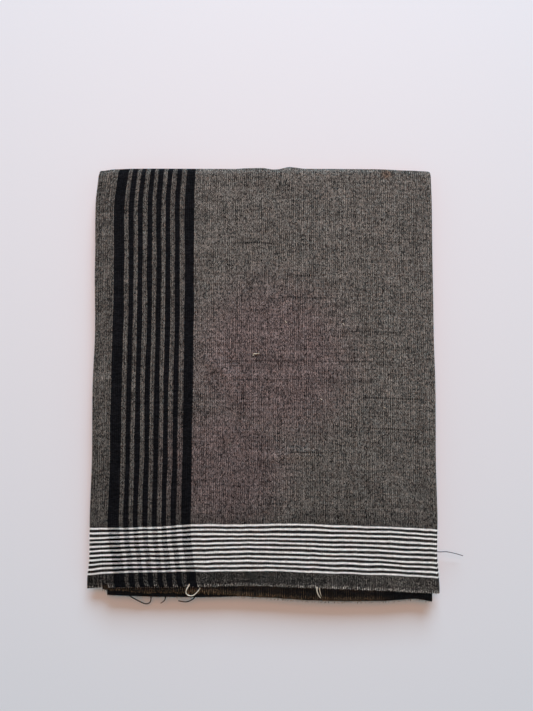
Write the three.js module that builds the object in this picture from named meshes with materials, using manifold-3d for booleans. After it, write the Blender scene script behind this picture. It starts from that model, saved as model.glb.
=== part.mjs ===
// A lungi, the wrapped cotton skirt cloth of south Asia, folded for the shelf and lying flat.
// The cloth is one loom-wide rectangle: four layers across, then six levels along its length.
// Millimetres, +Z up, +Y away from the viewer. The origin is the middle of the face it lies on.
//
// The stack is worked out first as a true rectangle of layers, in which each stretch of cloth
// is a wall along a path in the YZ plane. Each point is then moved to where the handled,
// slightly skewed cloth has settled.
import * as THREE from "three";
import Module from "manifold-3d";
import { mergeVertices } from "three/addons/utils/BufferGeometryUtils.js";

// Folded size of the stack
const FOLD_WIDTH = 289;
const FAR_Y = 182; // crest of the fold away from the viewer
const NEAR_FOLD_Y = -177; // crest of the fold under the cut ends
const TOP_END_Y = -172.4; // cut end of the layer on top
const SECOND_END_Y = -180.5; // cut end of the layer below it
const THIRD_END_Y = -181.2; // cut ends of the bundles below that

// Thickness of the layers, from the surface they lie on upwards
const LAYER = 1.1;
const SECOND_LAYER = 1.0;
const GAP = 0.3;
const LEVEL_PITCH = 2.0; // one level is a bundle of four layers
const LEVELS = 6;
const FUSE = 0.2; // how far neighbouring levels run into each other
const JOIN = 0.4; // how far a level runs into its folds

const HIDDEN_BASE = LAYER + GAP;
const HIDDEN_TOP = HIDDEN_BASE + LEVELS * LEVEL_PITCH;
const SECOND_TOP = HIDDEN_TOP + GAP + SECOND_LAYER;
const STACK_TOP = SECOND_TOP + GAP + LAYER;

// The far fold holds all six levels, and the near fold the lower four
const FAR_RADIUS = STACK_TOP / 2;
const FAR_CENTRE_Y = FAR_Y - FAR_RADIUS;
const NEAR_LEVELS = 4;
const NEAR_RADIUS = LAYER + NEAR_LEVELS * LEVEL_PITCH / 2;
const NEAR_CENTRE_Y = NEAR_FOLD_Y + NEAR_RADIUS;
const NEAR_FOLD_STOP = 130; // degrees, where the near fold goes in under the cut ends
const NEAR_SLACK = 1.0; // between the near fold's crest and that of the bundles inside it
const UNDER_SEAM_Y = FAR_CENTRE_Y - 14; // end of the wall that goes round the far fold

// The fold along the right edge, where a panel turns back under itself
const LIP_RADIUS = 1.7;
const LIP_TURN = 110; // degrees
const LIP_STEPS = 4;

// The grid of the walls: shares of a wall's width, and places along the stack
const COLUMN_SHARES = [
  0, 0.022, 0.045, 0.08, 0.14, 0.22, 0.31, 0.4, 0.452, 0.49, 0.531, 0.576, 0.625, 0.76, 0.88,
  0.94, 0.975, 1,
];
const ROW_Y = [-166, -154, -140, -115, -80, -40, 0, 40, 80, 120, 150];
const BEND_STEPS = 8;

// How far the left and right edges of the stack wander from straight, along X
const SIDE_WANDER = [
  { y: -178, left: -1.8, right: 1.7 },
  { y: -145, left: 0.1, right: -0.8 },
  { y: -112, left: 0.0, right: 0.1 },
  { y: -63, left: 0.6, right: -0.4 },
  { y: -5, left: -0.2, right: 0.3 },
  { y: 38, left: 0.0, right: -0.4 },
  { y: 98, left: -1.7, right: -0.7 },
  { y: 150, left: -1.8, right: 0.2 },
  { y: 182, left: 0.2, right: -0.4 },
];

// How far the cut ends of the layers and the far fold wander from straight, along Y
const END_WANDER = [
  { x: -144, top: -4.9, second: 1.8, third: 0.8, far: -2.4 },
  { x: -134, top: -2.9, second: 1.8, third: 0.6, far: -0.9 },
  { x: -117, top: -2.3, second: 1.6, third: 0.4, far: -0.4 },
  { x: -99, top: -2.0, second: 1.3, third: 0.2, far: -0.3 },
  { x: -50, top: -1.4, second: 1.4, third: -0.4, far: -0.3 },
  { x: -28, top: -0.6, second: 0.8, third: -0.4, far: -0.3 },
  { x: -14, top: -0.5, second: -1.3, third: -0.3, far: 0.4 },
  { x: -3, top: -0.7, second: -1.8, third: -0.3, far: 0.7 },
  { x: 9, top: -0.9, second: -2.1, third: -0.3, far: -0.8 },
  { x: 22, top: -1.5, second: -2.7, third: -0.5, far: 1.6 },
  { x: 36, top: -1.9, second: -3.1, third: -0.8, far: 0.1 },
  { x: 64, top: -2.9, second: -3.2, third: -1.6, far: 0.1 },
  { x: 97, top: -4.2, second: -3.6, third: -2.4, far: 0.0 },
  { x: 127, top: -5.5, second: -5.1, third: -3.2, far: -1.0 },
  { x: 138, top: -6.0, second: -6.2, third: -3.5, far: -1.4 },
  { x: 144, top: -6.8, second: -3.0, third: -3.6, far: -1.8 },
];

// How high the stack stands, as a share of its full height
const RISE_ALONG = [
  { y: -186, share: 0.86 },
  { y: -150, share: 0.92 },
  { y: -90, share: 0.97 },
  { y: 0, share: 1.0 },
  { y: 110, share: 1.0 },
  { y: 182, share: 0.97 },
];
const RISE_ACROSS = [
  { x: -144, share: 0.94 },
  { x: -100, share: 0.985 },
  { x: 0, share: 1.0 },
  { x: 100, share: 0.99 },
  { x: 144, share: 0.95 },
];

// How far each stretch stops short of the stack's left and right edges
const PANEL_INSETS = {
  top: { leftNear: 0, leftFar: 0, rightNear: 0, rightFar: 0 },
  second: { leftNear: 12.4, leftFar: 3, rightNear: 5.6, rightFar: 2.4 },
  under: { leftNear: 12, leftFar: 1.5, rightNear: 3.5, rightFar: 0 },
};
const LEVEL_INSETS = [
  { leftNear: 14, leftFar: 4, rightNear: 6.5, rightFar: 2.4 },
  { leftNear: 17, leftFar: 6, rightNear: 5.6, rightFar: 3.2 },
  { leftNear: 17, leftFar: 5, rightNear: 5.6, rightFar: 2.2 },
  { leftNear: 14, leftFar: 5, rightNear: 6.5, rightFar: 2.2 },
  { leftNear: 16, leftFar: 6, rightNear: 7.0, rightFar: 3.2 },
  { leftNear: 18, leftFar: 4, rightNear: 5.4, rightFar: 2.4 },
];

// The top layer's near left corner hangs free of the layers below, and drops
const DROOP = { depth: 3.2, fromX: -131, fromY: -160, spanX: 13.5, spanY: 14, aboveZ: 13, spanZ: 2 };

// Loose yarns: where each is rooted, and the bends it takes on its way to its tip
const YARN = 0.7;
const YARN_STEPS = 10;
const STRIP_WIDTH = 2.2;
const STRIP_YARNS = [
  {
    rootX: -112,
    bends: [
      [-110, -182.8, 11.9],
      [-106, -186, 10],
      [-99, -191, 5.5],
      [-94.8, -190, 4.5],
      [-93.6, -185.6, 6],
    ],
  },
  { rootX: -80.4, bends: [[-80.6, -183.2, 11.8], [-82, -187.4, 9], [-85, -191.2, 4.5]] },
  { rootX: -56, bends: [[-56.4, -183.6, 11.9], [-58.5, -186.6, 10], [-64, -189.6, 7.5], [-70.8, -189, 7]] },
];
const TAB = { left: 140.2, right: 143.6, near: -151, far: -141, top: 13.1, thickness: 0.8 };
const TAB_YARN_BENDS = [[147.5, -146.9, 10.7], [154, -147, 10], [161.5, -148.8, 8.6], [168.4, -151, 7.2]];

// Looks: a grey-brown chambray, near black in the heading and in the shade of the folds
const CLOTH = { color: "#5b5552", roughness: 0.96, metalness: 0 };
const CLOTH_EDGE = { color: "#4a4543", roughness: 0.97, metalness: 0 };
const HEADING = { color: "#2c2a2a", roughness: 0.97, metalness: 0 };
const LOOSE_YARN = { color: "#6a645c", roughness: 0.95, metalness: 0 };

const wasm = await Module();
wasm.setup();

// The value in a table's column at a place, easing from row to row
function readTable(table, key, at, column) {
  if (at <= table[0][key]) return table[0][column];
  for (let i = 1; i < table.length; i++) {
    const low = table[i - 1];
    const high = table[i];
    if (at <= high[key]) {
      const share = (at - low[key]) / (high[key] - low[key]);
      return THREE.MathUtils.lerp(low[column], high[column], ease(share));
    }
  }
  return table[table.length - 1][column];
}

function ease(share) {
  return THREE.MathUtils.smoothstep(share, 0, 1);
}

// Moves a point of the true rectangle of layers to where the cloth has settled
function settle(x, y, z, endColumn) {
  const across = THREE.MathUtils.clamp(x / FOLD_WIDTH + 0.5, 0, 1);
  const left = readTable(SIDE_WANDER, "y", y, "left");
  const right = readTable(SIDE_WANDER, "y", y, "right");
  const near = readTable(END_WANDER, "x", x, endColumn);
  const far = readTable(END_WANDER, "x", x, "far");
  const along = ease((y - TOP_END_Y) / (FAR_Y - TOP_END_Y));
  const rise = readTable(RISE_ALONG, "y", y, "share") * readTable(RISE_ACROSS, "x", x, "share");
  const overhang = ease((DROOP.fromX - x) / DROOP.spanX) * ease((DROOP.fromY - y) / DROOP.spanY);
  const drop = DROOP.depth * overhang * ease((z - DROOP.aboveZ) / DROOP.spanZ);
  return new THREE.Vector3(
    x + THREE.MathUtils.lerp(left, right, across),
    y + THREE.MathUtils.lerp(near, far, along),
    z * rise - drop,
  );
}

// Stations of a path: a place in the YZ plane, and the way out of the cloth there
function straight(fromY, toY, z, outZ) {
  const low = Math.min(fromY, toY) + 3;
  const high = Math.max(fromY, toY) - 3;
  const between = ROW_Y.filter((y) => y > low && y < high);
  if (toY < fromY) between.reverse();
  return [fromY, ...between, toY].map((y) => ({ y, z, outY: 0, outZ }));
}

function bend(centreY, centreZ, radius, fromDegrees, toDegrees) {
  return Array.from({ length: BEND_STEPS + 1 }, (_, i) => {
    const degrees = THREE.MathUtils.lerp(fromDegrees, toDegrees, i / BEND_STEPS);
    const outY = Math.cos(THREE.MathUtils.degToRad(degrees));
    const outZ = Math.sin(THREE.MathUtils.degToRad(degrees));
    return { y: centreY + radius * outY, z: centreZ + radius * outZ, outY, outZ };
  });
}

// One path from several stretches, each starting where the last one ended
function joinPath(...stretches) {
  return stretches.flatMap((stretch, i) => (i ? stretch.slice(1) : stretch));
}

// A half round from one point to another, bulging out of the cloth's edge
function rim(from, to, steps) {
  const middle = from.clone().add(to).multiplyScalar(0.5);
  const arm = from.clone().sub(middle);
  const bulge = new THREE.Vector2(-arm.y, arm.x);
  return Array.from({ length: steps }, (_, i) => {
    const angle = (Math.PI * (i + 1)) / (steps + 1);
    return middle.clone().addScaledVector(arm, Math.cos(angle)).addScaledVector(bulge, Math.sin(angle));
  });
}

// A cut across the wall as points of X and depth below the outer face: over the outer face,
// round the right edge, back along the inner face and round the left edge
function section(left, right, thickness, rimSteps, lip) {
  const start = left + thickness / 2;
  const stop = lip ? right - LIP_RADIUS : right - thickness / 2;
  const columns = COLUMN_SHARES.map((share) => THREE.MathUtils.lerp(start, stop, share));
  const outer = columns.map((x) => new THREE.Vector2(x, 0));
  const inner = outer.map(({ x }) => new THREE.Vector2(x, thickness));
  for (let i = 1; lip && i <= LIP_STEPS; i++) {
    const angle = THREE.MathUtils.degToRad((LIP_TURN * i) / LIP_STEPS);
    for (const [side, radius] of [[outer, LIP_RADIUS], [inner, LIP_RADIUS - thickness]]) {
      const depth = LIP_RADIUS - radius * Math.cos(angle);
      side.push(new THREE.Vector2(stop + radius * Math.sin(angle), depth));
    }
  }
  inner.reverse();
  const rightRim = rim(outer.at(-1), inner[0], rimSteps);
  const leftRim = rim(inner.at(-1), outer[0], rimSteps);
  return { points: [...outer, ...rightRim, ...inner, ...leftRim], across: outer.length };
}

// Triangles over one end of a wall whose sections run as section() makes them
function capTriangles(ring, across, rimSteps) {
  const firstInner = across + rimSteps;
  const lastInner = firstInner + across - 1;
  const triangles = [];
  for (let j = 0; j + 1 < across; j++) {
    triangles.push([j, j + 1, lastInner - j], [j + 1, lastInner - j - 1, lastInner - j]);
  }
  for (let j = across - 1; j + 1 < firstInner; j++) triangles.push([j, j + 1, firstInner]);
  for (let j = lastInner; j + 1 < ring; j++) triangles.push([0, j, j + 1]);
  return triangles;
}

// A closed wall of cloth along a path, as settled sections joined and capped at both ends
function clothWall({ path, thickness, insets, end, rimSteps = 1, lip = false }) {
  const positions = [];
  let ring = 0;
  let across = 0;
  for (const { y, z, outY, outZ } of path) {
    const along = THREE.MathUtils.clamp((y - NEAR_FOLD_Y) / (FAR_Y - NEAR_FOLD_Y), 0, 1);
    const left = THREE.MathUtils.lerp(insets.leftNear, insets.leftFar, along) - FOLD_WIDTH / 2;
    const right = FOLD_WIDTH / 2 - THREE.MathUtils.lerp(insets.rightNear, insets.rightFar, along);
    const cut = section(left, right, thickness, rimSteps, lip);
    ring = cut.points.length;
    across = cut.across;
    for (const { x, y: depth } of cut.points) {
      positions.push(...settle(x, y - depth * outY, z - depth * outZ, end));
    }
  }
  const indices = [];
  for (let row = 0; row + 1 < path.length; row++) {
    for (let j = 0; j < ring; j++) {
      const a = row * ring + j;
      const b = row * ring + ((j + 1) % ring);
      indices.push(a, b, a + ring, b, b + ring, a + ring);
    }
  }
  const last = (path.length - 1) * ring;
  for (const [a, b, c] of capTriangles(ring, across, rimSteps)) {
    indices.push(a, c, b);
    indices.push(last + a, last + b, last + c);
  }
  return new THREE.BufferGeometry()
    .setAttribute("position", new THREE.Float32BufferAttribute(positions, 3))
    .setIndex(indices);
}

// A loose yarn of square section along a smooth route
function yarn(points) {
  const half = YARN / 2;
  const square = new THREE.Shape([
    new THREE.Vector2(-half, -half),
    new THREE.Vector2(half, -half),
    new THREE.Vector2(half, half),
    new THREE.Vector2(-half, half),
  ]);
  const route = new THREE.CatmullRomCurve3(points, false, "centripetal");
  return new THREE.ExtrudeGeometry(square, { steps: YARN_STEPS, extrudePath: route, curveSegments: 1 });
}

// One closed geometry from several that run into each other
function fuse(geometries) {
  const solids = geometries.map((geometry) => {
    const bare = new THREE.BufferGeometry().setAttribute("position", geometry.getAttribute("position"));
    if (geometry.index) bare.setIndex(geometry.index);
    const merged = mergeVertices(bare, 1e-4);
    return new wasm.Manifold(
      new wasm.Mesh({
        numProp: 3,
        vertProperties: new Float32Array(merged.getAttribute("position").array),
        triVerts: new Uint32Array(merged.index.array),
      }),
    );
  });
  const { vertProperties, triVerts } = solids.reduce((whole, solid) => whole.add(solid)).getMesh();
  return new THREE.BufferGeometry()
    .setAttribute("position", new THREE.BufferAttribute(vertProperties, 3))
    .setIndex(new THREE.BufferAttribute(triVerts, 1));
}

// The layer on top, from its cut end to the far fold, round it and a little way underneath
function topPanel() {
  const path = joinPath(
    straight(TOP_END_Y, FAR_CENTRE_Y, STACK_TOP, 1),
    bend(FAR_CENTRE_Y, FAR_RADIUS, FAR_RADIUS, 90, -90),
    straight(FAR_CENTRE_Y, UNDER_SEAM_Y, 0, -1),
  );
  return clothWall({ path, thickness: LAYER, insets: PANEL_INSETS.top, end: "top", lip: true });
}

// The flat underside, and the near fold as far as it shows below the cut ends
function underPanel() {
  const path = joinPath(
    straight(UNDER_SEAM_Y - GAP, NEAR_CENTRE_Y, 0, -1),
    bend(NEAR_CENTRE_Y, NEAR_RADIUS, NEAR_RADIUS, 270, NEAR_FOLD_STOP),
  );
  return clothWall({ path, thickness: LAYER, insets: PANEL_INSETS.under, end: "third", lip: true });
}

// The layer below the top one, whose end stands out past it at the near side
function secondLayer() {
  const path = straight(SECOND_END_Y + STRIP_WIDTH + GAP, FAR_CENTRE_Y, SECOND_TOP, 1);
  return clothWall({ path, thickness: SECOND_LAYER, insets: PANEL_INSETS.second, end: "second" });
}

// The six bundles between the outer layers, and the folds that join them in pairs
function hiddenLayers() {
  const walls = [];
  const wall = (path, thickness, level) =>
    walls.push(clothWall({ path, thickness, insets: LEVEL_INSETS[level], end: "third", rimSteps: 3 }));
  const foldRadius = (rank, outermost) => rank * LEVEL_PITCH + (outermost ? -FUSE / 4 : FUSE / 4);

  const nearY = NEAR_CENTRE_Y + NEAR_SLACK;
  for (let level = 0; level < LEVELS; level++) {
    const top = HIDDEN_BASE + (level + 1) * LEVEL_PITCH + (level + 1 < LEVELS ? FUSE : 0);
    const bottom = HIDDEN_BASE + level * LEVEL_PITCH;
    const startY = level < NEAR_LEVELS ? nearY - JOIN : THIRD_END_Y + (LEVELS - 1 - level) * LEVEL_PITCH;
    wall(straight(startY, FAR_CENTRE_Y + JOIN, top, 1), top - bottom, level);
  }
  for (const { levels, centreY, turn } of [
    { levels: LEVELS, centreY: FAR_CENTRE_Y, turn: [90, -90] },
    { levels: NEAR_LEVELS, centreY: nearY, turn: [270, 90] },
  ]) {
    const ranks = levels / 2;
    const centreZ = HIDDEN_BASE + ranks * LEVEL_PITCH;
    for (let rank = 1; rank <= ranks; rank++) {
      const radius = foldRadius(rank, rank === ranks);
      const thickness = Math.min(LEVEL_PITCH + FUSE / 2, radius - FUSE / 2);
      wall(bend(centreY, centreZ, radius, ...turn), thickness, ranks + rank - 1);
    }
  }
  return fuse(walls);
}

// The frayed edge of the second layer's cut end, and the yarns that have worked loose from it
function frayedEnd() {
  const path = straight(SECOND_END_Y, SECOND_END_Y + STRIP_WIDTH, SECOND_TOP, 1);
  const strip = clothWall({
    path,
    thickness: SECOND_LAYER,
    insets: PANEL_INSETS.second,
    end: "second",
  });
  const yarns = STRIP_YARNS.map(({ rootX, bends }) => {
    const rootZ = SECOND_TOP - SECOND_LAYER / 2;
    const root = settle(rootX, SECOND_END_Y + STRIP_WIDTH / 2, rootZ, "second");
    return yarn([root, ...bends.map((place) => new THREE.Vector3(...place))]);
  });
  return fuse([strip, ...yarns]);
}

// A yarn that has worked loose from the right edge, with the scrap of edge that holds it
function sideYarn() {
  const insets = {
    leftNear: TAB.left + FOLD_WIDTH / 2,
    leftFar: TAB.left + FOLD_WIDTH / 2,
    rightNear: FOLD_WIDTH / 2 - TAB.right,
    rightFar: FOLD_WIDTH / 2 - TAB.right,
  };
  const path = straight(TAB.near, TAB.far, TAB.top, 1);
  const tab = clothWall({ path, thickness: TAB.thickness, insets, end: "third" });
  const rootX = (TAB.left + TAB.right) / 2;
  const rootY = (TAB.near + TAB.far) / 2;
  const root = settle(rootX, rootY, TAB.top - TAB.thickness / 2, "third");
  return fuse([tab, yarn([root, ...TAB_YARN_BENDS.map((place) => new THREE.Vector3(...place))])]);
}

function piece(name, geometry, look) {
  const mesh = new THREE.Mesh(geometry, new THREE.MeshStandardMaterial(look));
  mesh.name = name;
  return mesh;
}

const lungi = new THREE.Group();
lungi.name = "folded_lungi";
lungi.add(
  piece("top_panel", topPanel(), CLOTH),
  piece("under_panel", underPanel(), CLOTH),
  piece("second_layer", secondLayer(), HEADING),
  piece("hidden_layers", hiddenLayers(), CLOTH_EDGE),
  piece("frayed_end", frayedEnd(), HEADING),
  piece("side_yarn", sideYarn(), LOOSE_YARN),
);

export default lungi;
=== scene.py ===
"""Dresses a folded cotton lungi: one handloom cloth, folded in four across and six along.

The cloth is made as the single sheet that it is. A grid whose two sides are the cloth's
width and length is laid along the folds, and its UV map keeps the flat cloth's own
measures, so that every stripe and weft line stays where it was woven.
"""

import logging
import math
from collections.abc import Iterable
from dataclasses import dataclass
from enum import Enum
from functools import partialmethod

import bpy
import numpy as np
from bpy.types import Material, Node, NodeInputs, NodeSocket, NodeTree, Object
from mathutils import Matrix, Vector


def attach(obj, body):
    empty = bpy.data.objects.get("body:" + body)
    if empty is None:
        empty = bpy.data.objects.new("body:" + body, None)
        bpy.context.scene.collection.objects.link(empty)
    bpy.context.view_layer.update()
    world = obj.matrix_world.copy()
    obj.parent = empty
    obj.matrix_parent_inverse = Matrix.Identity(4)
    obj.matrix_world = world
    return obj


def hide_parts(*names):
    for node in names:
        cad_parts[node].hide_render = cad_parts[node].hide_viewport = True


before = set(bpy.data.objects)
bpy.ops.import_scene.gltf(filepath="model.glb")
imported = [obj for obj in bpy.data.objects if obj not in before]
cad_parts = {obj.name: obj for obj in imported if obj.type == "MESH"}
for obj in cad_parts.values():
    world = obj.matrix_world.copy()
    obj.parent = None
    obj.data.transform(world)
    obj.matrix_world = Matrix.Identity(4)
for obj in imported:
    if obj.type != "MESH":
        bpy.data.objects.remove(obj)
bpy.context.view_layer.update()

MM = 0.001
MM_PER_METRE = 1000.0
ROW_SOFT = 0.1
LOG = logging.getLogger("lungi")
Array = np.ndarray
Pair = tuple[float, float]
Place = tuple[float, float, float]
Colour = tuple[float, float, float, float]
Feeds = dict[object, object]
Ramp = tuple[float, float, float, float]


def eased(share: Array) -> Array:
    """Eases a share from 0 to 1, holding it at both ends."""
    share = np.clip(share, 0.0, 1.0)
    return share * share * (3.0 - 2.0 * share)


def between(low: Array, high: Array, share: Array) -> Array:
    """Goes from low to high by a share."""
    return low + (high - low) * share


def deselect() -> None:
    """Deselects everything, so that the next operator touches only what it makes."""
    if bpy.context.object and bpy.context.object.mode != "OBJECT":
        bpy.ops.object.mode_set(mode="OBJECT")
    bpy.ops.object.select_all(action="DESELECT")


def run_length(line: Array) -> Array:
    """Gives the length of a line up to each of its points."""
    steps = np.linalg.norm(np.diff(line, axis=0), axis=1)
    return np.concatenate([[0.0], np.cumsum(steps)])


@dataclass(frozen=True)
class EasedTable:
    """Named columns of values over one coordinate, easing from place to place."""

    keys: tuple[float, ...]
    columns: dict[str, tuple[float, ...]]

    def read(self, at: Array, column: str) -> Array:
        """Reads a column.

        Args:
            at: Places along the table's coordinate.
            column: The column's name.

        Returns:
            The column's values there.
        """
        at = np.asarray(at, float)
        keys, values = np.array(self.keys), np.array(self.columns[column])
        low = np.clip(np.searchsorted(keys, at) - 1, 0, len(keys) - 2)
        share = eased((at - keys[low]) / (keys[low + 1] - keys[low]))
        return between(values[low], values[low + 1], share)


@dataclass(frozen=True)
class Crease:
    """A soft ridge or trough that handling left in the top layer, in millimetres."""

    points: tuple[Pair, ...]
    height: float
    width: float

    def lift(self, x: Array, y: Array) -> Array:
        """Works out how far the crease lifts the cloth.

        Args:
            x: Places across the stack.
            y: Places along it.

        Returns:
            The lift at each place. It fades towards both ends of the crease.
        """
        line = np.array(self.points)
        before = run_length(line)
        nearest = np.full(x.shape, np.inf)
        along = np.zeros(x.shape)
        for i, step in enumerate(np.diff(before)):
            way = (line[i + 1] - line[i]) / step
            run = np.clip((x - line[i, 0]) * way[0] + (y - line[i, 1]) * way[1], 0.0, step)
            away = np.hypot(x - line[i, 0] - run * way[0], y - line[i, 1] - run * way[1])
            closer = away < nearest
            nearest = np.where(closer, away, nearest)
            along = np.where(closer, (before[i] + run) / before[-1], along)
        fade = np.sin(math.pi * np.clip(0.08 + 0.84 * along, 0.0, 1.0))
        return self.height * fade * np.exp(-((nearest / self.width) ** 2))


@dataclass(frozen=True)
class Settling:
    """How the handled cloth departs from a true rectangle of layers, in millimetres."""

    fold_width: float = 289.0
    near_y: float = -173.3
    far_y: float = 182.0
    side: EasedTable = EasedTable(
        (-178, -145, -112, -63, -5, 38, 98, 150, 182),
        dict(
            left=(-2.4, 0.1, 0.0, 0.6, -0.2, 0.7, -0.8, -1.8, 0.2),
            right=(1.7, -0.3, 0.8, 0.3, 0.7, 0.1, -0.2, 0.2, -0.4),
        ),
    )
    border: EasedTable = EasedTable(
        (-178, -165, -150, -135, -115, -60, 0, 35, 90, 140, 182),
        dict(
            first=(10.5, 7.4, 4.7, 1.9, 0.4, 0.6, 0.75, 0.4, 1.3, 1.2, 2.6),
            last=(8.6, 5.7, 3.1, 0.9, -0.2, 0.1, 0.5, 0.15, 0.9, 0.65, 0.6),
        ),
    )
    end: EasedTable = EasedTable(
        (-144, -134, -117, -99, -50, -28, -14, -3, 9, 22, 36, 64, 97, 127, 138, 144),
        dict(
            top=(
                -4.6, -2.8, -2.2, -2.1, -1.4, -0.6, -0.5, -0.7,
                -0.9, -1.5, -1.9, -2.9, -4.2, -5.7, -6.2, -6.8,
            ),
            band=(
                -5.6, -5.4, -4.8, -4.0, -1.8, -1.7, -1.5, -1.4,
                -1.3, -1.2, -1.3, -2.1, -2.7, -3.9, -4.7, -5.1,
            ),
            second=(
                2.6, 2.8, 2.9, 1.1, 0.6, -0.4, -2.5, -3.0,
                -3.4, -4.3, -5.2, -5.9, -5.6, -3.8, -6.2, -3.0,
            ),
            third=(
                -1.4, -1.4, -1.3, -2.5, -2.6, -2.2, -1.6, -1.0,
                -2.0, -2.6, -3.0, -3.3, -3.1, -2.7, -3.5, -3.6,
            ),
            fourth=(
                0.6, 0.5, 0.4, 0.5, 0.9, 1.1, 1.3, 1.4,
                1.5, 1.7, 1.8, 2.2, 2.7, 3.0, 3.1, 3.2,
            ),
            far=(
                -2.4, -0.9, -0.4, -0.3, -0.3, -0.3, 0.4, 0.7,
                -0.8, 1.6, 0.1, 0.1, 0.0, -1.0, -1.4, -1.8,
            ),
        ),
    )
    rise_along: EasedTable = EasedTable(
        (-186, -150, -90, 0, 110, 182),
        dict(share=(0.86, 0.92, 0.97, 1.0, 1.0, 0.97)),
    )
    rise_across: EasedTable = EasedTable(
        (-144, -100, 0, 100, 144),
        dict(share=(0.94, 0.985, 1.0, 0.99, 0.95)),
    )
    droop: float = 3.2
    droop_from: Place = (-131.0, -160.0, 13.0)
    droop_span: Place = (13.5, 14.0, 2.0)

    def along(self, y: Array) -> Array:
        """Gives the eased share of the way from the cut end to the far fold."""
        return eased((y - self.near_y) / (self.far_y - self.near_y))

    def border_shift(self, x: Array, y: Array) -> Array:
        """Works out how far the border stripes lean away from the selvedge.

        Args:
            x: Places across.
            y: Places along.

        Returns:
            The shift along x at each place.
        """
        inland = x + self.fold_width / 2
        first, last = self.border.read(y, "first"), self.border.read(y, "last")
        shift = between(first, last, np.clip((inland - 15.0) / 70.0, 0.0, 1.0))
        return shift * eased(inland / 14.0) * (1.0 - eased((inland - 85.0) / 120.0))

    def settle(self, points: Array, lean: Array, bow: Array) -> Array:
        """Moves points of the true stack to where the cloth lies.

        Args:
            points: Places in the true stack, as rows of x, y and z.
            lean: How far each point's warp wanders along x.
            bow: How far each point's weft wanders along y.

        Returns:
            The settled places.
        """
        x, y, z = np.moveaxis(points, -1, 0)
        across = np.clip(x / self.fold_width + 0.5, 0.0, 1.0)
        side = between(self.side.read(y, "left"), self.side.read(y, "right"), across)
        rise = self.rise_along.read(y, "share") * self.rise_across.read(x, "share")
        hanging = eased((self.droop_from[0] - x) / self.droop_span[0])
        hanging = hanging * eased((self.droop_from[1] - y) / self.droop_span[1])
        drop = self.droop * hanging * eased((z - self.droop_from[2]) / self.droop_span[2])
        return np.stack([x + side + lean, y + bow, z * rise - drop], -1)


class Panel(Enum):
    """The four panels of the cloth's width, from the selvedge on top inwards."""

    TOP = 0
    SECOND = 1
    THIRD = 2
    FOURTH = 3


class Edge(Enum):
    """The five edges that the bundle's columns are measured from."""

    TOP = 0
    SECOND = 1
    LEFT = 2
    RIGHT = 3
    INNER = 4


# Which side of the stack each Edge is on
EDGE_SIDES = np.array((-1.0, -1.0, -1.0, 1.0, 1.0))


@dataclass(frozen=True)
class Turn:
    """A cut end or a fold of the bundle, with how far each Edge lies inside the fold width."""

    y: float
    far: bool
    insets: tuple[float, ...]


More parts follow.
